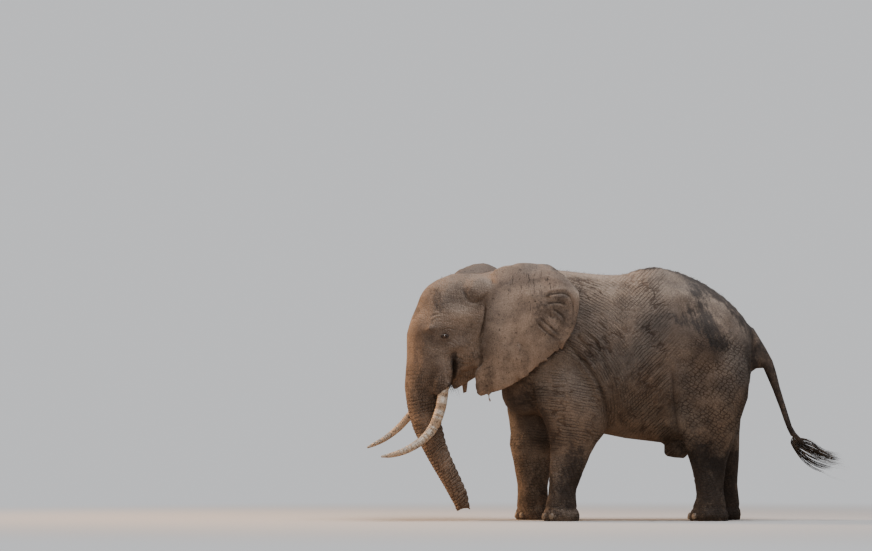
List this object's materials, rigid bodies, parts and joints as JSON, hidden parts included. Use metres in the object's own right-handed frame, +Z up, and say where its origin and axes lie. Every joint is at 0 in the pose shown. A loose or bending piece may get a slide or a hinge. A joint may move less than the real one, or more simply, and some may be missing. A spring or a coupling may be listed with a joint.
{
  "type": "african bush elephant",
  "caption": "Life-size standing elephant with tusks, large ears, head lowered and trunk hanging to the ground, parted into head, trunk, torso, legs and tail.",
  "frame": {"origin": "middle of the bounding box in plan, at the level of the soles", "axes": "+Z up; the elephant faces -Y, its left side is +X"},
  "size_m": [2.0498, 6.0698, 3.292],
  "materials": {
    "skin": "dry wrinkled hide, grey-brown, dusty above and dark below",
    "ear_skin": "thin dry hide, mottled brown",
    "ivory": "worn cream ivory with brown stains, satin",
    "nail": "dull worn horn",
    "tail_hair": "wiry black-brown hair",
    "eye": "wet amber-brown eye, glossy"
  },
  "bodies": {
    "root": {"ear_left": "ear_skin", "ear_right": "ear_skin", "eye_left": "eye", "eye_right": "eye", "foreleg_left_lower": "skin", "foreleg_left_upper": "skin", "foreleg_right_lower": "skin", "foreleg_right_upper": "skin", "head": "skin", "hindleg_left_lower": "skin", "hindleg_left_upper": "skin", "hindleg_right_lower": "skin", "hindleg_right_upper": "skin", "lower_jaw": "skin", "nail_fore_left_1": "nail", "nail_fore_left_2": "nail", "nail_fore_left_3": "nail", "nail_fore_left_4": "nail", "nail_fore_right_1": "nail", "nail_fore_right_2": "nail", "nail_fore_right_3": "nail", "nail_fore_right_4": "nail", "nail_hind_left_1": "nail", "nail_hind_left_2": "nail", "nail_hind_left_3": "nail", "nail_hind_right_1": "nail", "nail_hind_right_2": "nail", "nail_hind_right_3": "nail", "neck": "skin", "tail_end": "skin", "tail_middle": "skin", "tail_root": "skin", "tail_tuft": "tail_hair", "torso_front": "skin", "torso_middle": "skin", "torso_rear": "skin", "trunk_lower": "skin", "trunk_tip": "skin", "trunk_upper": "skin", "tusk_left": "ivory", "tusk_right": "ivory"}
  },
  "joints": []
}
